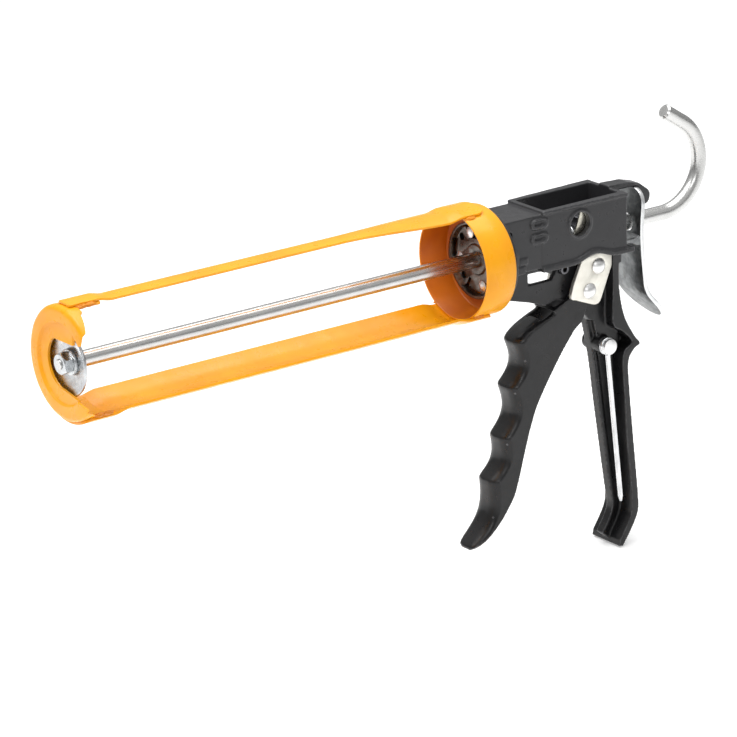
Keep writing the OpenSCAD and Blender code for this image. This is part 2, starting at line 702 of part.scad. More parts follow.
// The spring stops short of the lever by what its lower side moves
module release_spring() {
    wire_r = 0.85;
    coil_r = 9.4;
    swing = (lever_hinge[1] + coil_r + wire_r) * tan(lever_travel);
    color(steel) helix(coil_r, wire_r, box_x1 + wire_r + 0.05,
        lever_hinge[0] - lever_t / 2 - lever_lean - swing - wire_r - 0.2, 3, 8, 28);
}

// ---------- puncture wire ----------

module puncture_rivet() {
    color(zinc) {
        cross_pin(wire_pivot, 2, wire_y - wire_d / 2 - 0.2, boss_far + 1.2);
        cross_pin(wire_pivot, 4, wire_y - wire_d / 2 - 1.7, wire_y - wire_d / 2 - 0.12);
        cross_pin(wire_pivot, 3.4, boss_far + 0.02, boss_far + 1.2);
    }
}

module puncture_wire() {
    loop_r = 2 + run_gap + wire_d / 2;
    lean = 5.6;
    taper = 3;
    color(zinc) translate([wire_pivot[0], wire_y, wire_pivot[1]]) rotate([90, 0, 0]) {
        rotate_extrude($fn = 48) translate([loop_r, 0]) circle(r = wire_d / 2, $fn = 24);
        rotate([90, 0, lean]) {
            translate([0, 0, loop_r]) cylinder(r = wire_d / 2, h = wire_len - taper - loop_r);
            translate([0, 0, wire_len - taper])
                cylinder(r1 = wire_d / 2, r2 = wire_d / 4, h = taper);
        }
    }
}

// ---------- plunger ----------

module rod() {
    chamfer = 0.8;
    color(steel) {
        // Thin end for the nut and the washer
        translate([nut_front - 0.8, 0, 0]) along_x()
            cylinder(r = tip_r, h = piston_floor - nut_front + 1.8);
        translate([piston_floor - 0.05, 0, 0]) along_x()
            cylinder(r = rod_r, h = rod_tail - piston_floor + 0.05);
        translate([rod_tail, 0, hook_r]) rotate([90, 0, 0]) rotate([0, 0, -90])
            rotate_extrude(angle = hook_turn, $fn = 128)
                translate([hook_r, 0]) circle(r = rod_r);
        translate([rod_tail + hook_r * sin(hook_turn), 0, hook_r - hook_r * cos(hook_turn)])
            rotate([0, 90 - hook_turn, 0]) {
                cylinder(r = rod_r, h = hook_tip - chamfer);
                translate([0, 0, hook_tip - chamfer])
                    cylinder(r1 = rod_r, r2 = rod_r - chamfer, h = chamfer);
            }
    }
}

module piston_disc() {
    bore = rod_r + run_gap;
    recess = 8.6;
    front = piston_front;
    back = piston_floor;
    rim = 0.6;
    color(zinc) along_x() rotate_extrude($fn = 96) polygon(concat(
        [[bore, back], [recess, back]],
        arc([piston_r - rim, front + rim], rim, -100, 0, 5),
        arc([piston_r - rim, front + piston_t - 0.4], rim - 0.2, 0, 80, 4),
        [[recess - 0.3, back + piston_t], [bore, back + piston_t]]));
}

module piston_washer() color(zinc) translate([piston_floor - washer_t - 0.05, 0, 0])
    along_x() difference() {
        cylinder(r = 6.2, h = washer_t);
        translate([0, 0, -1]) cylinder(r = tip_r, h = washer_t + 2);
    }

module piston_nut() color(zinc) translate([nut_front - 0.05, 0, 0]) along_x() difference() {
    intersection() {
        cylinder(r = nut_af / 2 / cos(30), h = nut_h, $fn = 6);
        rotate_extrude($fn = 48) polygon([[0, 0], [nut_af / 2 - 0.2, 0], [nut_af / 2 + 0.9, 1],
            [nut_af / 2 + 0.9, nut_h - 0.6], [nut_af / 2, nut_h], [0, nut_h]]);
    }
    translate([0, 0, -1]) cylinder(r = tip_r, h = nut_h + 2);
}

module rod_collar() color(zinc) translate([piston_floor + piston_t + 0.05, 0, 0]) along_x()
    difference() {
        cylinder(r1 = collar_r, r2 = rod_r + 0.7, h = collar_len);
        translate([0, 0, -1]) cylinder(r = rod_r, h = collar_len + 2);
    }

front_cap();
top_rail();
bottom_rail();
rear_ring();
seat_plate();
seat_rivets();
body_housing();
rod();
piston_disc();
piston_nut();
piston_washer();
rod_collar();
drive_plates();
drive_spring();
drive_pin();
trigger();
side_plate_left();
side_plate_right();
pivot_rivet();
link_rivet();
stop_pin();
release_lever();
release_spring();
puncture_wire();
puncture_rivet();
spout_cutter_blade();
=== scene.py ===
# Caulking gun: the looks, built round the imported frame.
import json
import math

import bmesh
import bpy
from mathutils import Matrix, Vector, noise


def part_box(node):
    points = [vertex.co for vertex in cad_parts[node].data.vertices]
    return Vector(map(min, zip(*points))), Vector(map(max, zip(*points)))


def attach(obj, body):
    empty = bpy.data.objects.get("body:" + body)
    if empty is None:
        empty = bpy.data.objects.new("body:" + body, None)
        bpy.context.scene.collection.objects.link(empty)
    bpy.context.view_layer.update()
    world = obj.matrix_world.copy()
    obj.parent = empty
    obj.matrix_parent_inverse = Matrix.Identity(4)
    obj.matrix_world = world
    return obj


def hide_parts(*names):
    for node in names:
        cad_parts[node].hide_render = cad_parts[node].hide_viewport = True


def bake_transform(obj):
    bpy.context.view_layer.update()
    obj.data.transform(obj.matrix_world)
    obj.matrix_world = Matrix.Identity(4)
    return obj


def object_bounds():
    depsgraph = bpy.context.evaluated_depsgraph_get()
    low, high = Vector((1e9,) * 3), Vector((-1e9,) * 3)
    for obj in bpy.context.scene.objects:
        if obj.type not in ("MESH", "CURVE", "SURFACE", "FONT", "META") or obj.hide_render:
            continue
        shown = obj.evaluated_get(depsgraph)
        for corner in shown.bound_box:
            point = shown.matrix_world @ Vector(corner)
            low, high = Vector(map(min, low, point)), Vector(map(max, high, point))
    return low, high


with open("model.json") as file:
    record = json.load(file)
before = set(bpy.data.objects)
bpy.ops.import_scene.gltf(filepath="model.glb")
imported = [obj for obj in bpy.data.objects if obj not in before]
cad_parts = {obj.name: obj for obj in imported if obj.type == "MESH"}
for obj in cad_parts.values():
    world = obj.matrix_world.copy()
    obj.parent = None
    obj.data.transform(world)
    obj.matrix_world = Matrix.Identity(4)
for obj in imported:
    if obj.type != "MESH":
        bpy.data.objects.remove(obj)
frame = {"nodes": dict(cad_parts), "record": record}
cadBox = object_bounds()
bodyOf = {node: body for body, nodes in frame["record"]["behaviour"]["bodies"].items()
          for node in nodes}
print("frame loaded")


# Camera, floor and light

camera = {
    "azimuth": -35.798, "elevation": 18.978, "roll": -1.678,  # degrees
    "distance": 1.9713, "lens": 199.6, "sensor": 36,
    "sideways": -0.04068, "upwards": -0.04972,  # from the ring's front edge, in the view's plane
}


def addCamera():
    aim = Vector((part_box("rear_ring")[0].x, 0, 0))
    azimuth, elevation = math.radians(camera["azimuth"]), math.radians(camera["elevation"])
    back = Vector((math.sin(azimuth) * math.cos(elevation),
                   -math.cos(azimuth) * math.cos(elevation), math.sin(elevation)))
    level = Vector((math.cos(azimuth), math.sin(azimuth), 0))
    turn = Matrix.Rotation(math.radians(camera["roll"]), 3, back)
    right, up = turn @ level, turn @ back.cross(level)
    data = bpy.data.cameras.new("camera")
    data.lens = camera["lens"]
    data.sensor_width = camera["sensor"]
    data.clip_start = 0.05
    data.clip_end = 20
    view = bpy.data.objects.new("camera", data)
    view.matrix_world = Matrix((right, up, back)).transposed().to_4x4()
    view.location = (aim + back * camera["distance"] + right * camera["sideways"]
                     + up * camera["upwards"])
    bpy.context.scene.collection.objects.link(view)
    bpy.context.scene.camera = view


studio = {
    "floorGap": 0.0005,  # between the floor and the handle's toe
    "floorSize": 0.9,
    "floorShade": 0.85,
    "floorGlow": 0.30,
    "below": 1.02,  # the sky's strength under the horizon
    "skyLow": 0.20, "skyTop": 0.60,  # its strength where it starts and stops brightening
    "skyStart": 0.05, "skyEnd": 0.45,
    # each lamp: place, what it faces, width, height, watts
    "lamps": {
        "overhead": ((-0.05, 0.15, 1.2), (-0.05, 0.05, -0.1), 1.7, 1.2, 19),
        "key": ((-0.75, 0.15, 1.05), (0, 0, 0), 0.3, 0.4, 3),
        "front": ((-1.0, -1.3, 0.9), (0, 0, 0), 0.4, 0.7, 3.5),
    },
}


def addStage():
    plane = bmesh.new()
    bmesh.ops.create_grid(plane, x_segments=1, y_segments=1, size=studio["floorSize"])
    bmesh.ops.translate(plane, vec=(0, 0, cadBox[0].z - studio["floorGap"]), verts=plane.verts)
    mesh = bpy.data.meshes.new("floor")
    plane.to_mesh(mesh)
    plane.free()
    floor = bpy.data.objects.new("floor", mesh)
    bpy.context.scene.collection.objects.link(floor)
    paper = bpy.data.materials.new("paper")
    paper.use_nodes = True
    shader = paper.node_tree.nodes["Principled BSDF"]
    shade = studio["floorShade"]
    shader.inputs["Base Color"].default_value = (shade, shade, shade, 1)
    shader.inputs["Roughness"].default_value = 0.9
    shader.inputs["Specular IOR Level"].default_value = 0.1
    shader.inputs["Emission Color"].default_value = (1, 1, 1, 1)
    shader.inputs["Emission Strength"].default_value = studio["floorGlow"]
    mesh.materials.append(paper)


def addLights():
    # White below the horizon, where it carries the floor on; above it grey that brightens upwards,
    # so that metal has something to mirror
    world = bpy.data.worlds.new("studio")
    bpy.context.scene.world = world
    world.use_nodes = True
    tree = world.node_tree
    background = tree.nodes["Background"]
    background.inputs["Color"].default_value = (1, 1, 1, 1)
    place = tree.nodes.new("ShaderNodeTexCoord")
    split = tree.nodes.new("ShaderNodeSeparateXYZ")
    fade = tree.nodes.new("ShaderNodeMapRange")
    for socket, key in (("From Min", "skyStart"), ("From Max", "skyEnd"), ("To Min", "skyLow"),
                        ("To Max", "skyTop")):
        fade.inputs[socket].default_value = studio[key]
    tree.links.new(place.outputs["Generated"], split.inputs[0])
    tree.links.new(split.outputs["Z"], fade.inputs["Value"])
    under = tree.nodes.new("ShaderNodeMath")
    under.operation = "LESS_THAN"
    under.inputs[1].default_value = 0
    tree.links.new(split.outputs["Z"], under.inputs[0])
    level = tree.nodes.new("ShaderNodeMix")
    level.inputs["B"].default_value = studio["below"]
    tree.links.new(under.outputs[0], level.inputs["Factor"])
    tree.links.new(fade.outputs[0], level.inputs["A"])
    tree.links.new(level.outputs["Result"], background.inputs["Strength"])
    for name, (spot, target, width, height, watts) in studio["lamps"].items():
        data = bpy.data.lights.new(name, "AREA")
        data.shape = "RECTANGLE"
        data.size = width
        data.size_y = height
        data.energy = watts
        lamp = bpy.data.objects.new(name, data)
        lamp.location = spot
        lamp.rotation_euler = (Vector(target) - Vector(spot)).to_track_quat("-Z", "Y").to_euler()
        bpy.context.scene.collection.objects.link(lamp)


bpy.context.scene.view_settings.view_transform = "Standard"
addCamera()
addStage()
addLights()
print("camera, floor and lamps placed")


# Finishes

def newFinish(name, colour, roughness, metallic=0.0, coat=0.0, specular=0.5):
    finish = bpy.data.materials.new(name)
    finish.use_nodes = True
    shader = finish.node_tree.nodes["Principled BSDF"]
    shader.inputs["Base Color"].default_value = (*colour, 1)
    shader.inputs["Roughness"].default_value = roughness
    shader.inputs["Metallic"].default_value = metallic
    shader.inputs["Coat Weight"].default_value = coat
    shader.inputs["Coat Roughness"].default_value = 0.12
    shader.inputs["Specular IOR Level"].default_value = specular
    return finish, finish.node_tree, shader


def addNoise(tree, scale, detail=3.0, stretch=(1, 1, 1), distortion=0.0):
    place = tree.nodes.new("ShaderNodeTexCoord")
    mapping = tree.nodes.new("ShaderNodeMapping")
    mapping.inputs["Scale"].default_value = stretch
    pattern = tree.nodes.new("ShaderNodeTexNoise")
    pattern.inputs["Scale"].default_value = scale
    pattern.inputs["Detail"].default_value = detail
    pattern.inputs["Distortion"].default_value = distortion
    tree.links.new(place.outputs["Object"], mapping.inputs["Vector"])
    tree.links.new(mapping.outputs["Vector"], pattern.inputs["Vector"])
    return pattern.outputs["Fac"]


def addRange(tree, value, start, end, low, high):
    stretch = tree.nodes.new("ShaderNodeMapRange")
    for socket, number in (("From Min", start), ("From Max", end), ("To Min", low),
                           ("To Max", high)):
        stretch.inputs[socket].default_value = number
    tree.links.new(value, stretch.inputs["Value"])
    return stretch.outputs[0]


def addMix(tree, factor, first, second):
    mix = tree.nodes.new("ShaderNodeMix")
    mix.data_type = "RGBA"
    tree.links.new(factor, mix.inputs["Factor"])
    for socket, colour in ((mix.inputs["A"], first), (mix.inputs["B"], second)):
        if isinstance(colour, tuple):
            socket.default_value = (*colour, 1)
        else:
            tree.links.new(colour, socket)
    return mix.outputs["Result"]


def addBump(tree, shader, height, strength, distance):
    bump = tree.nodes.new("ShaderNodeBump")
    bump.inputs["Strength"].default_value = strength
    bump.inputs["Distance"].default_value = distance
    tree.links.new(height, bump.inputs["Height"])
    last = shader.inputs["Normal"].links
    if last:
        tree.links.new(last[0].from_socket, bump.inputs["Normal"])
    tree.links.new(bump.outputs["Normal"], shader.inputs["Normal"])


paint = {
    "yellow": (0.92, 0.39, 0.004), "yellowDeep": (0.86, 0.33, 0.003),
    # inside and insideDeep are painted shade: the yellow darkened for faces inside the ring and the
    # top rail; the weld beads also take insideDeep as their darker tone
    "inside": (0.66, 0.18, 0.003), "insideDeep": (0.52, 0.12, 0.002),
    "weld": (0.74, 0.27, 0.006),
    "black": (0.004, 0.004, 0.0045), "blackLight": (0.010, 0.010, 0.011),
    # The next two are painted light: a paler black for the upper casting and a light grey for edge
    # highlights
    "blackLitTop": (0.026, 0.026, 0.028), "blackEdgeHighlight": (0.13, 0.13, 0.135),
}


def enamel(name, colour, deep, roughness=0.30):
    # Gloss enamel: slow changes of tone and orange peel
    finish, tree, shader = newFinish(name, colour, roughness, coat=0.08, specular=0.36)
    tone = addRange(tree, addNoise(tree, 45, 4), 0.35, 0.7, 0, 1)
    tree.links.new(addMix(tree, tone, colour, deep), shader.inputs["Base Color"])
    rough = addRange(tree, addNoise(tree, 160, 3), 0.3, 0.7, roughness - 0.07, roughness + 0.10)
    tree.links.new(rough, shader.inputs["Roughness"])
    addBump(tree, shader, addNoise(tree, 420, 2), 0.08, 0.0003)
    addBump(tree, shader, addNoise(tree, 2400, 2), 0.05, 0.00008)
    return finish


def castPaint(name):
    # Semi-gloss black over a die casting: fine grain, painted light that makes it paler higher up
    # round the box, and painted highlights on the convex edges, broken into patches
    finish, tree, shader = newFinish(name, paint["black"], 0.36, coat=0.10, specular=0.34)
    tone = addRange(tree, addNoise(tree, 70, 5), 0.35, 0.7, 0, 1)
    base = addMix(tree, tone, paint["black"], paint["blackLight"])
    place = tree.nodes.new("ShaderNodeTexCoord")
    split = tree.nodes.new("ShaderNodeSeparateXYZ")
    tree.links.new(place.outputs["Object"], split.inputs[0])
    # Painted light: the colour grows paler from the handle up to the box, standing in for the box
    # catching more light
    base = addMix(tree, addRange(tree, split.outputs["Z"], -0.034, -0.006, 0, 1), base,
                  paint["blackLitTop"])
    # Painted highlight: convex edges, found by pointiness, turn light grey in noisy patches,
    # standing in for light caught on rounded edges
    shape = tree.nodes.new("ShaderNodeNewGeometry")
    edge = addRange(tree, shape.outputs["Pointiness"], 0.515, 0.575, 0, 1)
    edgePatches = addRange(tree, addNoise(tree, 500, 4), 0.36, 0.60, 0.15, 0.9)
    paintedEdgeHighlight = tree.nodes.new("ShaderNodeMath")
    paintedEdgeHighlight.operation = "MULTIPLY"
    tree.links.new(edge, paintedEdgeHighlight.inputs[0])
    tree.links.new(edgePatches, paintedEdgeHighlight.inputs[1])
    tree.links.new(addMix(tree, paintedEdgeHighlight.outputs[0], base, paint["blackEdgeHighlight"]),
                   shader.inputs["Base Color"])
    rough = addRange(tree, addNoise(tree, 240, 4), 0.3, 0.7, 0.26, 0.42)
    tree.links.new(rough, shader.inputs["Roughness"])
    addBump(tree, shader, addNoise(tree, 1500, 3), 0.22, 0.00012)
    addBump(tree, shader, addNoise(tree, 260, 3), 0.10, 0.0004)
    return finish


def metal(name, colour, deep, roughness, grain=900, stretch=(1, 1, 1), spread=0.10, bump=0.12,
          tone=120):
    # Bare or plated metal: tone, grain along one direction and fine scratches
    finish, tree, shader = newFinish(name, colour, roughness, metallic=1.0)
    patches = addRange(tree, addNoise(tree, tone, 5, distortion=0.6), 0.35, 0.68, 0, 1)
    tree.links.new(addMix(tree, patches, colour, deep), shader.inputs["Base Color"])
    lines = addNoise(tree, grain, 4, stretch)
    rough = addRange(tree, lines, 0.3, 0.7, max(0.04, roughness - spread), roughness + spread)
    tree.links.new(rough, shader.inputs["Roughness"])
    addBump(tree, shader, lines, bump, 0.00006)
    return finish


finishes = {
    "yellow": enamel("yellow_paint", paint["yellow"], paint["yellowDeep"]),
    # A darker, rougher copy of the yellow: painted shade for faces turned towards the rod's axis
    "yellowShadedInside": enamel("yellow_paint_shaded_inside", paint["inside"], paint["insideDeep"], 0.38),
    "weld": enamel("painted_weld", paint["weld"], paint["insideDeep"], 0.42),
    "black": castPaint("black_paint"),
    "zinc": metal("zinc_plate", (0.84, 0.82, 0.75), (0.76, 0.74, 0.67), 0.46, 700, spread=0.06),
    "rivet": metal("rivet_steel", (0.90, 0.90, 0.89), (0.80, 0.80, 0.80), 0.36, 800),
    "lever": metal("lever_steel", (0.26, 0.27, 0.27), (0.15, 0.155, 0.16), 0.42, 260,
                   (1, 1, 0.35), 0.12, 0.2, 320),
    # A bright copy of the lever's metal: painted highlight for the edges of its ears
    "leverEdgeHighlight": metal("lever_edge_highlight", (0.82, 0.83, 0.83), (0.66, 0.67, 0.68), 0.34, 500),
    "rod": metal("rod_steel", (0.66, 0.66, 0.65), (0.58, 0.58, 0.57), 0.27, 1600,
                 (0.03, 1, 1), 0.04, 0.04, 60),
    "piston": metal("piston_steel", (0.62, 0.64, 0.65), (0.46, 0.47, 0.49), 0.26, 500,
                    spread=0.08),
    "seat": metal("seat_metal", (0.20, 0.185, 0.17), (0.10, 0.09, 0.08), 0.34, 700),
    "hardened": metal("hardened_steel", (0.16, 0.16, 0.17), (0.08, 0.08, 0.09), 0.36, 600),
    "blade": metal("blade_steel", (0.62, 0.60, 0.52), (0.44, 0.42, 0.36), 0.28, 900,
                   (0.1, 1, 1)),
    "spring": metal("spring_steel", (0.66, 0.67, 0.68), (0.42, 0.43, 0.44), 0.24, 900),
    "wire": metal("wire_steel", (0.82, 0.83, 0.84), (0.60, 0.61, 0.62), 0.26, 900,
                  (1, 1, 0.05)),
}
print("finishes made")


# Helpers for building pieces

def addPiece(name, bm, looks, nodes=(), body=None, blend=None, sharp=40, bevel=0.0, segments=2):
    # looks: one finish or several; nodes: the CAD nodes that it stands for, the first gives the
    # body; blend: the two bodies that the piece spans, and where, of which only whether it is given
    # is read: then the piece keeps its world place and goes under no body
    for face in bm.faces:
        face.smooth = True
    for edge in bm.edges:
        if len(edge.link_faces) == 2 and edge.calc_face_angle(0) > math.radians(sharp):
            edge.smooth = bevel > 0
    mesh = bpy.data.meshes.new(name)
    bm.to_mesh(mesh)
    bm.free()
    for look in looks if isinstance(looks, tuple) else (looks,):
        mesh.materials.append(finishes[look])
    piece = bpy.data.objects.new(name, mesh)
    bpy.context.scene.collection.objects.link(piece)
    if bevel > 0:
        edges = piece.modifiers.new("edges", "BEVEL")
        edges.width = bevel
        edges.segments = segments
        edges.limit_method = "ANGLE"
        edges.angle_limit = math.radians(sharp)
        edges.harden_normals = True
    if nodes:
        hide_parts(*nodes)
    if blend:
        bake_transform(piece)
    else:
        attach(piece, body or bodyOf[nodes[0]])


def mergedCopy(node, flat=1.0):
    # The CAD node's triangles, joined and with flat faces made whole
    bm = bmesh.new()
    bm.from_mesh(frame["nodes"][node].data)
    bmesh.ops.remove_doubles(bm, verts=bm.verts, dist=2e-6)
    if flat:
        bmesh.ops.dissolve_limit(bm, angle_limit=math.radians(flat), verts=bm.verts,
                                 edges=bm.edges, use_dissolve_boundaries=False)
    return bm


def revolved(points, steps=96):
    # A closed outline of (x, radius) spun round the rod's axis
    bm = bmesh.new()
    verts = [bm.verts.new((x, 0, r)) for x, r in points]
    edges = [bm.edges.new(pair) for pair in zip(verts, verts[1:] + verts[:1])]
    bmesh.ops.spin(bm, geom=verts + edges, cent=(0, 0, 0), axis=(1, 0, 0),
                   angle=2 * math.pi, steps=steps, use_merge=True)
    bmesh.ops.remove_doubles(bm, verts=bm.verts, dist=1e-7)
    bmesh.ops.recalc_face_normals(bm, faces=bm.faces)
    return bm


def startRound(bm, radius, centre, facing, sides=24):
    made = bmesh.ops.create_circle(bm, cap_ends=True, radius=radius, segments=sides)
    turn = Vector((0, 0, 1)).rotation_difference(Vector(facing)).to_matrix()
    bmesh.ops.rotate(bm, cent=(0, 0, 0), matrix=turn, verts=made["verts"])
    bmesh.ops.translate(bm, vec=centre, verts=made["verts"])
    return list({edge for vert in made["verts"] for edge in vert.link_edges})


def goStraight(bm, edges, way, size=1.0):
    made = bmesh.ops.extrude_edge_only(bm, edges=edges)["geom"]
    verts = [item for item in made if isinstance(item, bmesh.types.BMVert)]
    bmesh.ops.translate(bm, vec=way, verts=verts)
    if size != 1.0:
        centre = sum((vert.co for vert in verts), Vector()) / len(verts)
        bmesh.ops.scale(bm, vec=(size, size, size), verts=verts, space=Matrix.Translation(-centre))
    moved = set(verts)
    return [item for item in made if isinstance(item, bmesh.types.BMEdge)
            and set(item.verts) <= moved]


def goRound(bm, edges, centre, axis, degrees, steps, shift=(0, 0, 0)):
    made = bmesh.ops.spin(bm, geom=edges, cent=centre, axis=axis, dvec=shift,
                          angle=math.radians(degrees), steps=steps, use_merge=False)
    return [item for item in made["geom_last"] if isinstance(item, bmesh.types.BMEdge)]


def endRound(bm, edges):
    bmesh.ops.edgeloop_fill(bm, edges=edges)
    bmesh.ops.recalc_face_normals(bm, faces=bm.faces)


# The cage: ring, rails, cap and weld beads

cage = {
    "gauge": 0.0013,
    # the ring's front edges, the two steps of its rounded back edge and the fold inside it
    "lip": 0.0004, "heel": 0.00088, "heelMiddle": 0.00024, "fold": 0.0008,
    "flangeBore": 0.0166,
    "topHalf": 0.005, "topEndHalf": 0.0105,  # half the top rail's width, along it and at the ring
    "flareStart": 0.070, "flareEnd": 0.004,  # ahead of the ring
    "bottomHalf": 0.01575,
    "capLeg": 0.0157,
    "joggle": 0.008,
    "corner": 0.0045, "capCorner": 0.0015,
}


def addRing():
    low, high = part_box("rear_ring")
    outer, gauge, lip = high.z, cage["gauge"], cage["lip"]
    heel, middle, fold, bore = cage["heel"], cage["heelMiddle"], cage["fold"], cage["flangeBore"]
    inner = outer - gauge
    flange = high.x - gauge
    bm = revolved([
        (low.x, outer - lip), (low.x + lip, outer), (high.x - heel, outer),
        (high.x - middle, outer - middle), (high.x, outer - heel),
        (high.x, bore), (flange, bore), (flange, inner - fold), (flange - fold, inner),
        (low.x + lip, inner), (low.x, inner + lip)], 144)
    # Painted shade: faces turned towards the axis, and the flange's front face inside the wall, take
    # the darker yellow
    for face in bm.faces:
        middle = face.calc_center_median()
        inward = face.normal.dot(Vector((0, middle.y, middle.z))) < 0
        face.material_index = 1 if inward or face.normal.x < -0.9 and middle.yz.length < inner else 0
    addPiece("cage_ring", bm, ("yellow", "yellowShadedInside"), ["rear_ring"], sharp=50)


def smoothStep(value, start, end):
    t = min(1, max(0, (value - start) / (end - start)))
    return t * t * (3 - 2 * t)


def strip(stations, across, halfWidth, radius, side):
    # A sheet bent round the rod's axis, facing out: side is 1 above the axis and -1 below
    bm = bmesh.new()
    bmesh.ops.create_grid(bm, x_segments=len(stations) - 1, y_segments=across, size=1)
    for vert in bm.verts:
        x = stations[round((vert.co.x + 1) / 2 * (len(stations) - 1))]
        r = radius(x)
        angle = vert.co.y * math.asin(halfWidth(x) / r)
        vert.co = (x, r * math.sin(angle), side * r * math.cos(angle))
    bmesh.ops.recalc_face_normals(bm, faces=bm.faces)
    if bm.faces[:][0].normal.z * side <= 0:
        bmesh.ops.reverse_faces(bm, faces=bm.faces)
    return bm


def spaced(start, end, count):
    return [start + (end - start) * i / count for i in range(count)]


def addRails():
    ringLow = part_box("rear_ring")[0]
    gauge, corner, joggle = cage["gauge"], cage["corner"], cage["joggle"]
    for node, side, across in (("top_rail", 1, 10), ("bottom_rail", -1, 28)):
        low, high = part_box(node)
        outer = high.z if side > 0 else -low.z
        capEnd, ringStart = low.x + cage["capLeg"], ringLow.x - 0.001

        def radius(x):
            drop = smoothStep(x, capEnd, capEnd + joggle)
            rise = smoothStep(x, ringStart - joggle, ringStart)
            return outer - gauge * (drop - rise)

        def halfWidth(x):
            wide = cage["bottomHalf"]
            if side > 0:
                spread = smoothStep(x, ringLow.x - cage["flareStart"],
                                    ringLow.x - cage["flareEnd"])
                wide = cage["topHalf"] + (cage["topEndHalf"] - cage["topHalf"]) * spread
            for end in (low.x, high.x):
                inset = corner if side < 0 or end > low.x else cage["capCorner"]
                past = inset - abs(x - end)
                if past > 0:
                    wide -= inset - math.sqrt(max(0, inset * inset - past * past))
            return wide

        stations = (spaced(low.x, low.x + corner, 8) + spaced(low.x + corner, capEnd, 4)
                    + spaced(capEnd, capEnd + joggle, 10)
                    + spaced(capEnd + joggle, ringStart - joggle, 40)
                    + spaced(ringStart - joggle, ringStart, 10)
                    + spaced(ringStart, high.x - corner, 5) + spaced(high.x - corner, high.x, 8)
                    + [high.x])
        bm = strip(stations, across, halfWidth, radius, side)
        bmesh.ops.solidify(bm, geom=bm.faces[:], thickness=gauge)
        bmesh.ops.recalc_face_normals(bm, faces=bm.faces)
        # Painted shade: on the top rail, faces turned towards the axis take the darker yellow
        for face in bm.faces:
            middle = face.calc_center_median()
            inward = face.normal.dot(Vector((0, middle.y, middle.z))) < -0.2
            face.material_index = 1 if inward and side > 0 else 0
        addPiece(node.replace("_", "_cage_"), bm, ("yellow", "yellowShadedInside"), [node],
                 bevel=0.00035, sharp=50)


welds = {
    "size": (0.0030, 0.0013, 0.0010),  # half the length, width and height of a bead
    "rough": 0.35, "lumps": 2.1, "seed": 3.7,
    "onCap": (0.0095, 0.0140), "onRing": 0.003,  # from the cap's front and from the ring's
    "beside": 0.0004, "sink": 0.0001,
}


def addWelds():
    # Uneven beads where the rails meet the cap and the ring
    ringLow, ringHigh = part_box("rear_ring")
    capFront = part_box("front_cap")[0].x
    outer = ringHigh.z
    spots = []
    for side, half in ((1, cage["topHalf"]), (-1, cage["bottomHalf"])):
        for edge in (-1, 1):
            angle = edge * math.asin((half + welds["beside"]) / outer)
            spots += [(capFront + along, angle, side) for along in welds["onCap"]]
    for edge in (-1, 1):
        for side, half in ((1, cage["topEndHalf"]), (-1, cage["bottomHalf"])):
            spots.append((ringLow.x + welds["onRing"], edge * math.asin(half / outer), side))
    bm = bmesh.new()
    for index, (x, angle, side) in enumerate(spots):
        made = bmesh.ops.create_icosphere(bm, subdivisions=4, radius=1)["verts"]
        for vert in made:
            bump = noise.noise(vert.co * welds["lumps"] + Vector((index * welds["seed"], 0, 0)))
            vert.co *= 1 + welds["rough"] * bump
        bmesh.ops.scale(bm, vec=welds["size"], verts=made)
        bmesh.ops.translate(bm, vec=(x, 0, side * (outer - welds["sink"])), verts=made)
        bmesh.ops.rotate(bm, cent=(0, 0, 0), verts=made,
                         matrix=Matrix.Rotation(-angle * side, 3, "X"))
    addPiece("weld_beads", bm, "weld", body="cage")


def addCap():
    bm = mergedCopy("front_cap")
    addPiece("cage_cap", bm, "yellow", ["front_cap"], bevel=0.0004, sharp=32, segments=3)


addRing()
addRails()
addCap()
addWelds()
print("cage built")


# The two castings: body and trigger

castings = {
    # voxel, smoothing passes, share of faces kept, extra passes on the finger grooves
    "body_housing": (0.00045, 3, 0.30, 0),
    "trigger": (0.00042, 8, 0.5, 24),
}
gripTop = -0.04  # the finger grooves lie below this


def addCasting(node, name):
    voxel, passes, kept, frontPasses = castings[node]
    bm = mergedCopy(node, 0)
    mesh = bpy.data.meshes.new(name + "_draft")
    bm.to_mesh(mesh)
    bm.free()
    draft = bpy.data.objects.new(name + "_draft", mesh)
    bpy.context.scene.collection.objects.link(draft)
    remesh = draft.modifiers.new("cast", "REMESH")
    remesh.mode = "VOXEL"
    remesh.voxel_size = voxel
    remesh.adaptivity = 0
    soften = draft.modifiers.new("soften", "SMOOTH")
    soften.factor = 0.5
    soften.iterations = passes
    thin = draft.modifiers.new("thin", "DECIMATE")
    thin.ratio = kept
    shape = draft.evaluated_get(bpy.context.evaluated_depsgraph_get()).to_mesh()
    bm = bmesh.new()
    bm.from_mesh(shape)
    bpy.data.objects.remove(draft)
    bpy.data.meshes.remove(mesh)
    bm.normal_update()
    grip = [vert for vert in bm.verts if vert.normal.x < -0.25 and vert.co.z < gripTop]
    for _ in range(frontPasses):
        bmesh.ops.smooth_vert(bm, verts=grip, factor=0.5, use_axis_x=True, use_axis_y=True,
                              use_axis_z=True)
    print(name, len(bm.faces), "faces")
    addPiece(name, bm, "black", [node], sharp=180)


addCasting("body_housing", "cast_body")
addCasting("trigger", "cast_trigger")
print("castings built")


# The rod with its piston and nut

rod = {
    "threadSize": 0.63,  # share of the rod's radius
    "threadDepth": 0.9, "leadIn": 0.86,  # shares of the thread's radius, at its roots and its end
    "threadPitch": 0.0004, "threads": 7,
    "shoulderGap": 0.0001, "shoulder": 0.00002,
    "tail": 0.117,  # where the hook starts
    "hook": 0.0244, "turn": 147, "tip": 0.014,  # its radius, degrees and straight end
    "chamfer": 0.0009,
    "straightSteps": 20, "turnSteps": 64,
}


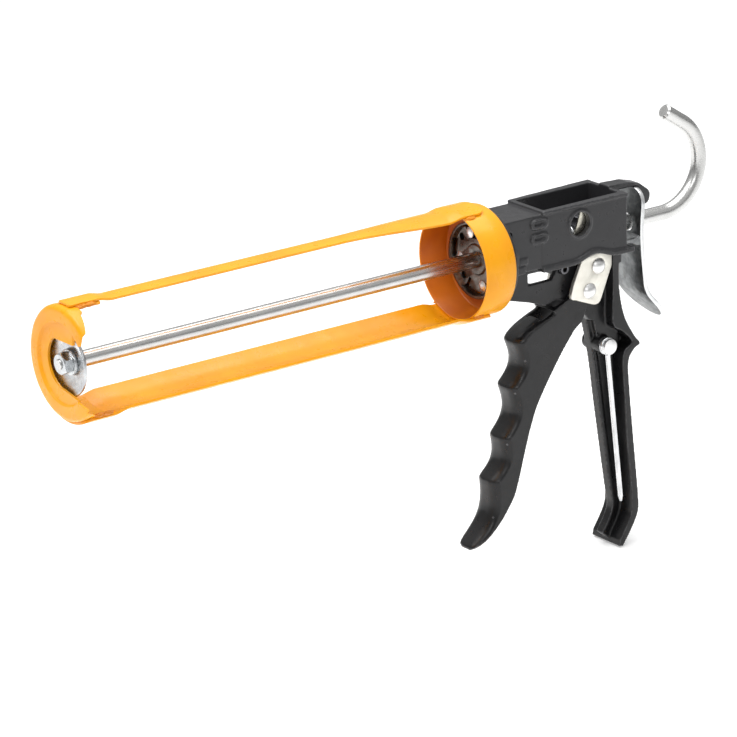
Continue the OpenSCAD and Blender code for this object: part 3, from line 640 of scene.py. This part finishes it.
def addRod():
    low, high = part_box("rod")
    radius, tail, pitch = high.y, rod["tail"], rod["threadPitch"]
    bm = bmesh.new()
    thread = radius * rod["threadSize"]
    edges = startRound(bm, thread * rod["leadIn"], (low.x, 0, 0), (1, 0, 0), 40)
    edges = goStraight(bm, edges, (pitch, 0, 0), 1 / rod["leadIn"])
    for _ in range(rod["threads"]):
        edges = goStraight(bm, edges, (pitch, 0, 0), rod["threadDepth"])
        edges = goStraight(bm, edges, (pitch, 0, 0), 1 / rod["threadDepth"])
    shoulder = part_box("piston_washer")[1].x + rod["shoulderGap"]
    edges = goStraight(bm, edges, (shoulder - max(vert.co.x for vert in bm.verts), 0, 0))
    edges = goStraight(bm, edges, (rod["shoulder"], 0, 0), radius / thread)
    straight = (tail - shoulder - rod["shoulder"]) / rod["straightSteps"]
    for _ in range(rod["straightSteps"]):
        edges = goStraight(bm, edges, (straight, 0, 0))
    edges = goRound(bm, edges, (tail, 0, rod["hook"]), (0, -1, 0), rod["turn"],
                    rod["turnSteps"])
    angle = math.radians(rod["turn"])
    way = Vector((math.cos(angle), 0, math.sin(angle)))
    edges = goStraight(bm, edges, way * (rod["tip"] - rod["chamfer"]))
    edges = goStraight(bm, edges, way * rod["chamfer"], 1 - rod["chamfer"] / radius)
    endRound(bm, edges)
    addPiece("push_rod", bm, "rod", ["rod"], sharp=30)


piston = {
    # node: name, sharp angle, bevel segments
    "piston_disc": ("piston_dish", 32, 2),
    "piston_nut": ("end_nut", 20, 3),
    "piston_washer": ("nut_washer", 40, 2),
    "rod_collar": ("piston_collar", 40, 2),
}


def addPiston():
    for node, (name, sharp, segments) in piston.items():
        addPiece(name, mergedCopy(node), "piston", [node], bevel=0.0002, sharp=sharp,
                 segments=segments)


addRod()
addPiston()
print("plunger built")


# Plates, rivets, pins and lever

leverEdgeFrom = 0.0925  # the lever's ears lie ahead of this
copies = {
    # node: name, finish, bevel, sharp angle
    "side_plate_left": ("left_link_plate", "zinc", 0.0003, 35),
    "side_plate_right": ("right_link_plate", "zinc", 0.0003, 35),
    "pivot_rivet": ("pivot_rivet_dome", "rivet", 0.0002, 35),
    "link_rivet": ("link_rivet_dome", "rivet", 0.0002, 35),
    "puncture_rivet": ("wire_rivet", "rivet", 0.0003, 35),
    "seat_rivets": ("seat_rivet_heads", "rivet", 0.00015, 35),
    "seat_plate": ("seat_disc", "seat", 0.00018, 30),
    "release_lever": ("thumb_lever", ("lever", "leverEdgeHighlight"), 0.0004, 30),
    "stop_pin": ("rolled_pin", "hardened", 0.0002, 40),
    "drive_plates": ("grip_plates", "hardened", 0.0002, 40),
    "drive_pin": ("push_pin", "hardened", 0.0002, 40),
    "spout_cutter_blade": ("cutter_blade", "blade", 0.00008, 40),
}


def addCopy(node):
    name, look, bevel, sharp = copies[node]
    bm = mergedCopy(node)
    # A second, far lighter finish goes on the edge faces of the lever's ears: a painted highlight
    for face in bm.faces if isinstance(look, tuple) else ():
        highlighted = abs(face.normal.x) < 0.2 and face.calc_center_median().x > leverEdgeFrom
        face.material_index = int(highlighted)
    addPiece(name, bm, look, [node], bevel=bevel, sharp=sharp)


for node in copies:
    addCopy(node)
print("plates, rivets and lever finished")


# Springs and puncture wire

springs = {
    # node: name, coil radius, wire radius, turns, body that it stands on, body that it presses,
    # how far its end lies past the front of what it presses
    "drive_spring": ("return_spring", 0.0060, 0.0007, 6, "main", "grip_plates", -0.0001),
    "release_spring": ("lever_spring", 0.0094, 0.00085, 3, "main", "release_lever", 0.0012),
}
pressedNode = {"grip_plates": "drive_plates", "release_lever": "release_lever"}
coils = {
    "round": 12,  # corners of the wire's section
    "openSteps": 36,  # for each turn
    "closedTurn": 300, "closedSteps": 30,  # degrees and steps of the turn that closes each end
    "closedRise": 1.7,  # in wire radii
    "closedBoth": 1.6,  # turns that the two closed ends take up
}


def addSpring(node):
    name, coil, wireRadius, turns, fixed, pressed, past = springs[node]
    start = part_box(node)[0].x + wireRadius
    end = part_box(pressedNode[pressed])[0].x + past - wireRadius
    rise = wireRadius * coils["closedRise"]
    openSteps = turns * coils["openSteps"]
    closedPart = (coils["closedTurn"], coils["closedSteps"], rise / coils["closedSteps"])
    openPart = (360 * (turns - coils["closedBoth"]), openSteps,
                (end - start - 2 * rise) / openSteps)
    bm = bmesh.new()
    edges = startRound(bm, wireRadius, (start, 0, coil), (0, 1, 0), coils["round"])
    for degrees, steps, climb in (closedPart, openPart, closedPart):
        edges = goRound(bm, edges, (0, 0, 0), (-1, 0, 0), degrees, steps, (climb, 0, 0))
    endRound(bm, edges)
    addPiece(name, bm, "spring", [node], sharp=180,
             blend=(fixed, pressed, (start, 0, 0), (end, 0, 0)))


wire = {
    "radius": 0.0013,
    "loop": 0.00338, "start": 262, "leave": -58,  # the loop's radius, and degrees round the rivet
    "bend": 0.003,
    "lean": 5.6,  # degrees from upright
    "taper": 0.003, "point": 0.5, "endRoom": 0.00039,
}


def addWire():
    low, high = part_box("puncture_wire")
    joint = next(item for item in frame["record"]["behaviour"]["joints"]
                 if item["name"] == "wire_swing")
    pivot = Vector(joint["pos_m"])
    pivot.y = (low.y + high.y) / 2
    start, leave, lean = wire["start"], wire["leave"], wire["lean"]

    def around(angle, size):
        turned = math.radians(angle)
        return Vector((math.cos(turned), 0, math.sin(turned))) * size

    bm = bmesh.new()
    edges = startRound(bm, wire["radius"], pivot + around(start, wire["loop"]),
                       around(start - 90, 1), 16)
    edges = goRound(bm, edges, pivot, (0, 1, 0), start - leave, 60)
    heading = leave - 90
    bendCentre = pivot + around(leave, wire["loop"]) + around(heading + 90, wire["bend"])
    edges = goRound(bm, edges, bendCentre, (0, -1, 0), -90 + lean - heading, 16)
    ends = [vert.co for edge in edges for vert in edge.verts]
    here = sum(ends, Vector()) / len(ends)
    way = around(-90 + lean, 1)
    length = (here.z - low.z - wire["endRoom"]) / math.cos(math.radians(lean))
    for _ in range(8):
        edges = goStraight(bm, edges, way * ((length - wire["taper"]) / 8))
    edges = goStraight(bm, edges, way * wire["taper"], wire["point"])
    endRound(bm, edges)
    addPiece("piercing_wire", bm, "wire", ["puncture_wire"], sharp=60)


for node in springs:
    addSpring(node)
addWire()
print("springs and wire built")
